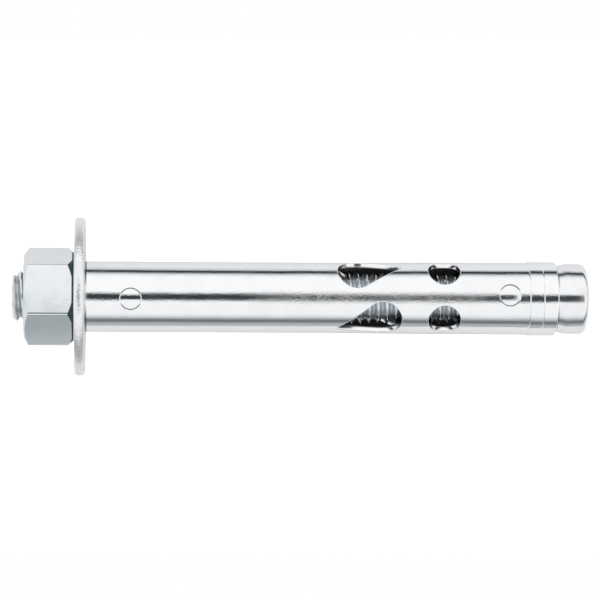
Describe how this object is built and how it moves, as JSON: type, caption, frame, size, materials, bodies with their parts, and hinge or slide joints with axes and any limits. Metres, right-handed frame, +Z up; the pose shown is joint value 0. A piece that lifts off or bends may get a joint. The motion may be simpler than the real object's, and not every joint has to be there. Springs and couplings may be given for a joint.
{
  "type": "sleeve anchor",
  "caption": "Sleeve anchor for masonry: a threaded stud with a conical head inside a rolled, windowed sleeve, with a washer and a hex nut that draws the cone in.",
  "frame": {"origin": "on the table under the middle of the lying anchor", "axes": "+X from the nut toward the conical head, +Z up from the table, +Y completes the right-handed set; the anchor's own axis leans 5 degrees below +X"},
  "size_m": [0.0654, 0.0178, 0.0179],
  "materials": {
    "stud_zinc": "bright zinc plating on a rolled thread and a turned cone",
    "sleeve_zinc": "bright zinc plating on smooth rolled strip",
    "washer_zinc": "bright zinc plating with a faintly mottled blanked rim",
    "nut_zinc": "satin zinc plating"
  },
  "bodies": {
    "washer": {"washer": "washer_zinc"},
    "sleeve": {"sleeve": "sleeve_zinc"},
    "nut": {"nut": "nut_zinc"},
    "stud": {"stud": "stud_zinc"}
  },
  "joints": [
    {"name": "nut_turn", "type": "hinge", "parent": "washer", "child": "nut", "pos_m": [-0.02434, 0, 0.0089], "axis": [0.9962, 0, -0.0874], "range_deg": [-1800, 0]},
    {"name": "stud_slide", "type": "slide", "parent": "washer", "child": "stud", "axis": [0.9962, 0, -0.0874], "range_m": [0, 0.005]},
    {"name": "sleeve_spin", "type": "hinge", "parent": "washer", "child": "sleeve", "pos_m": [-0.02434, 0, 0.0089], "axis": [0.9962, 0, -0.0874], "continuous": true}
  ],
  "couplings": [
    {"joint": "nut_turn", "follows": "stud_slide", "rad_per_m": -6283.2}
  ]
}
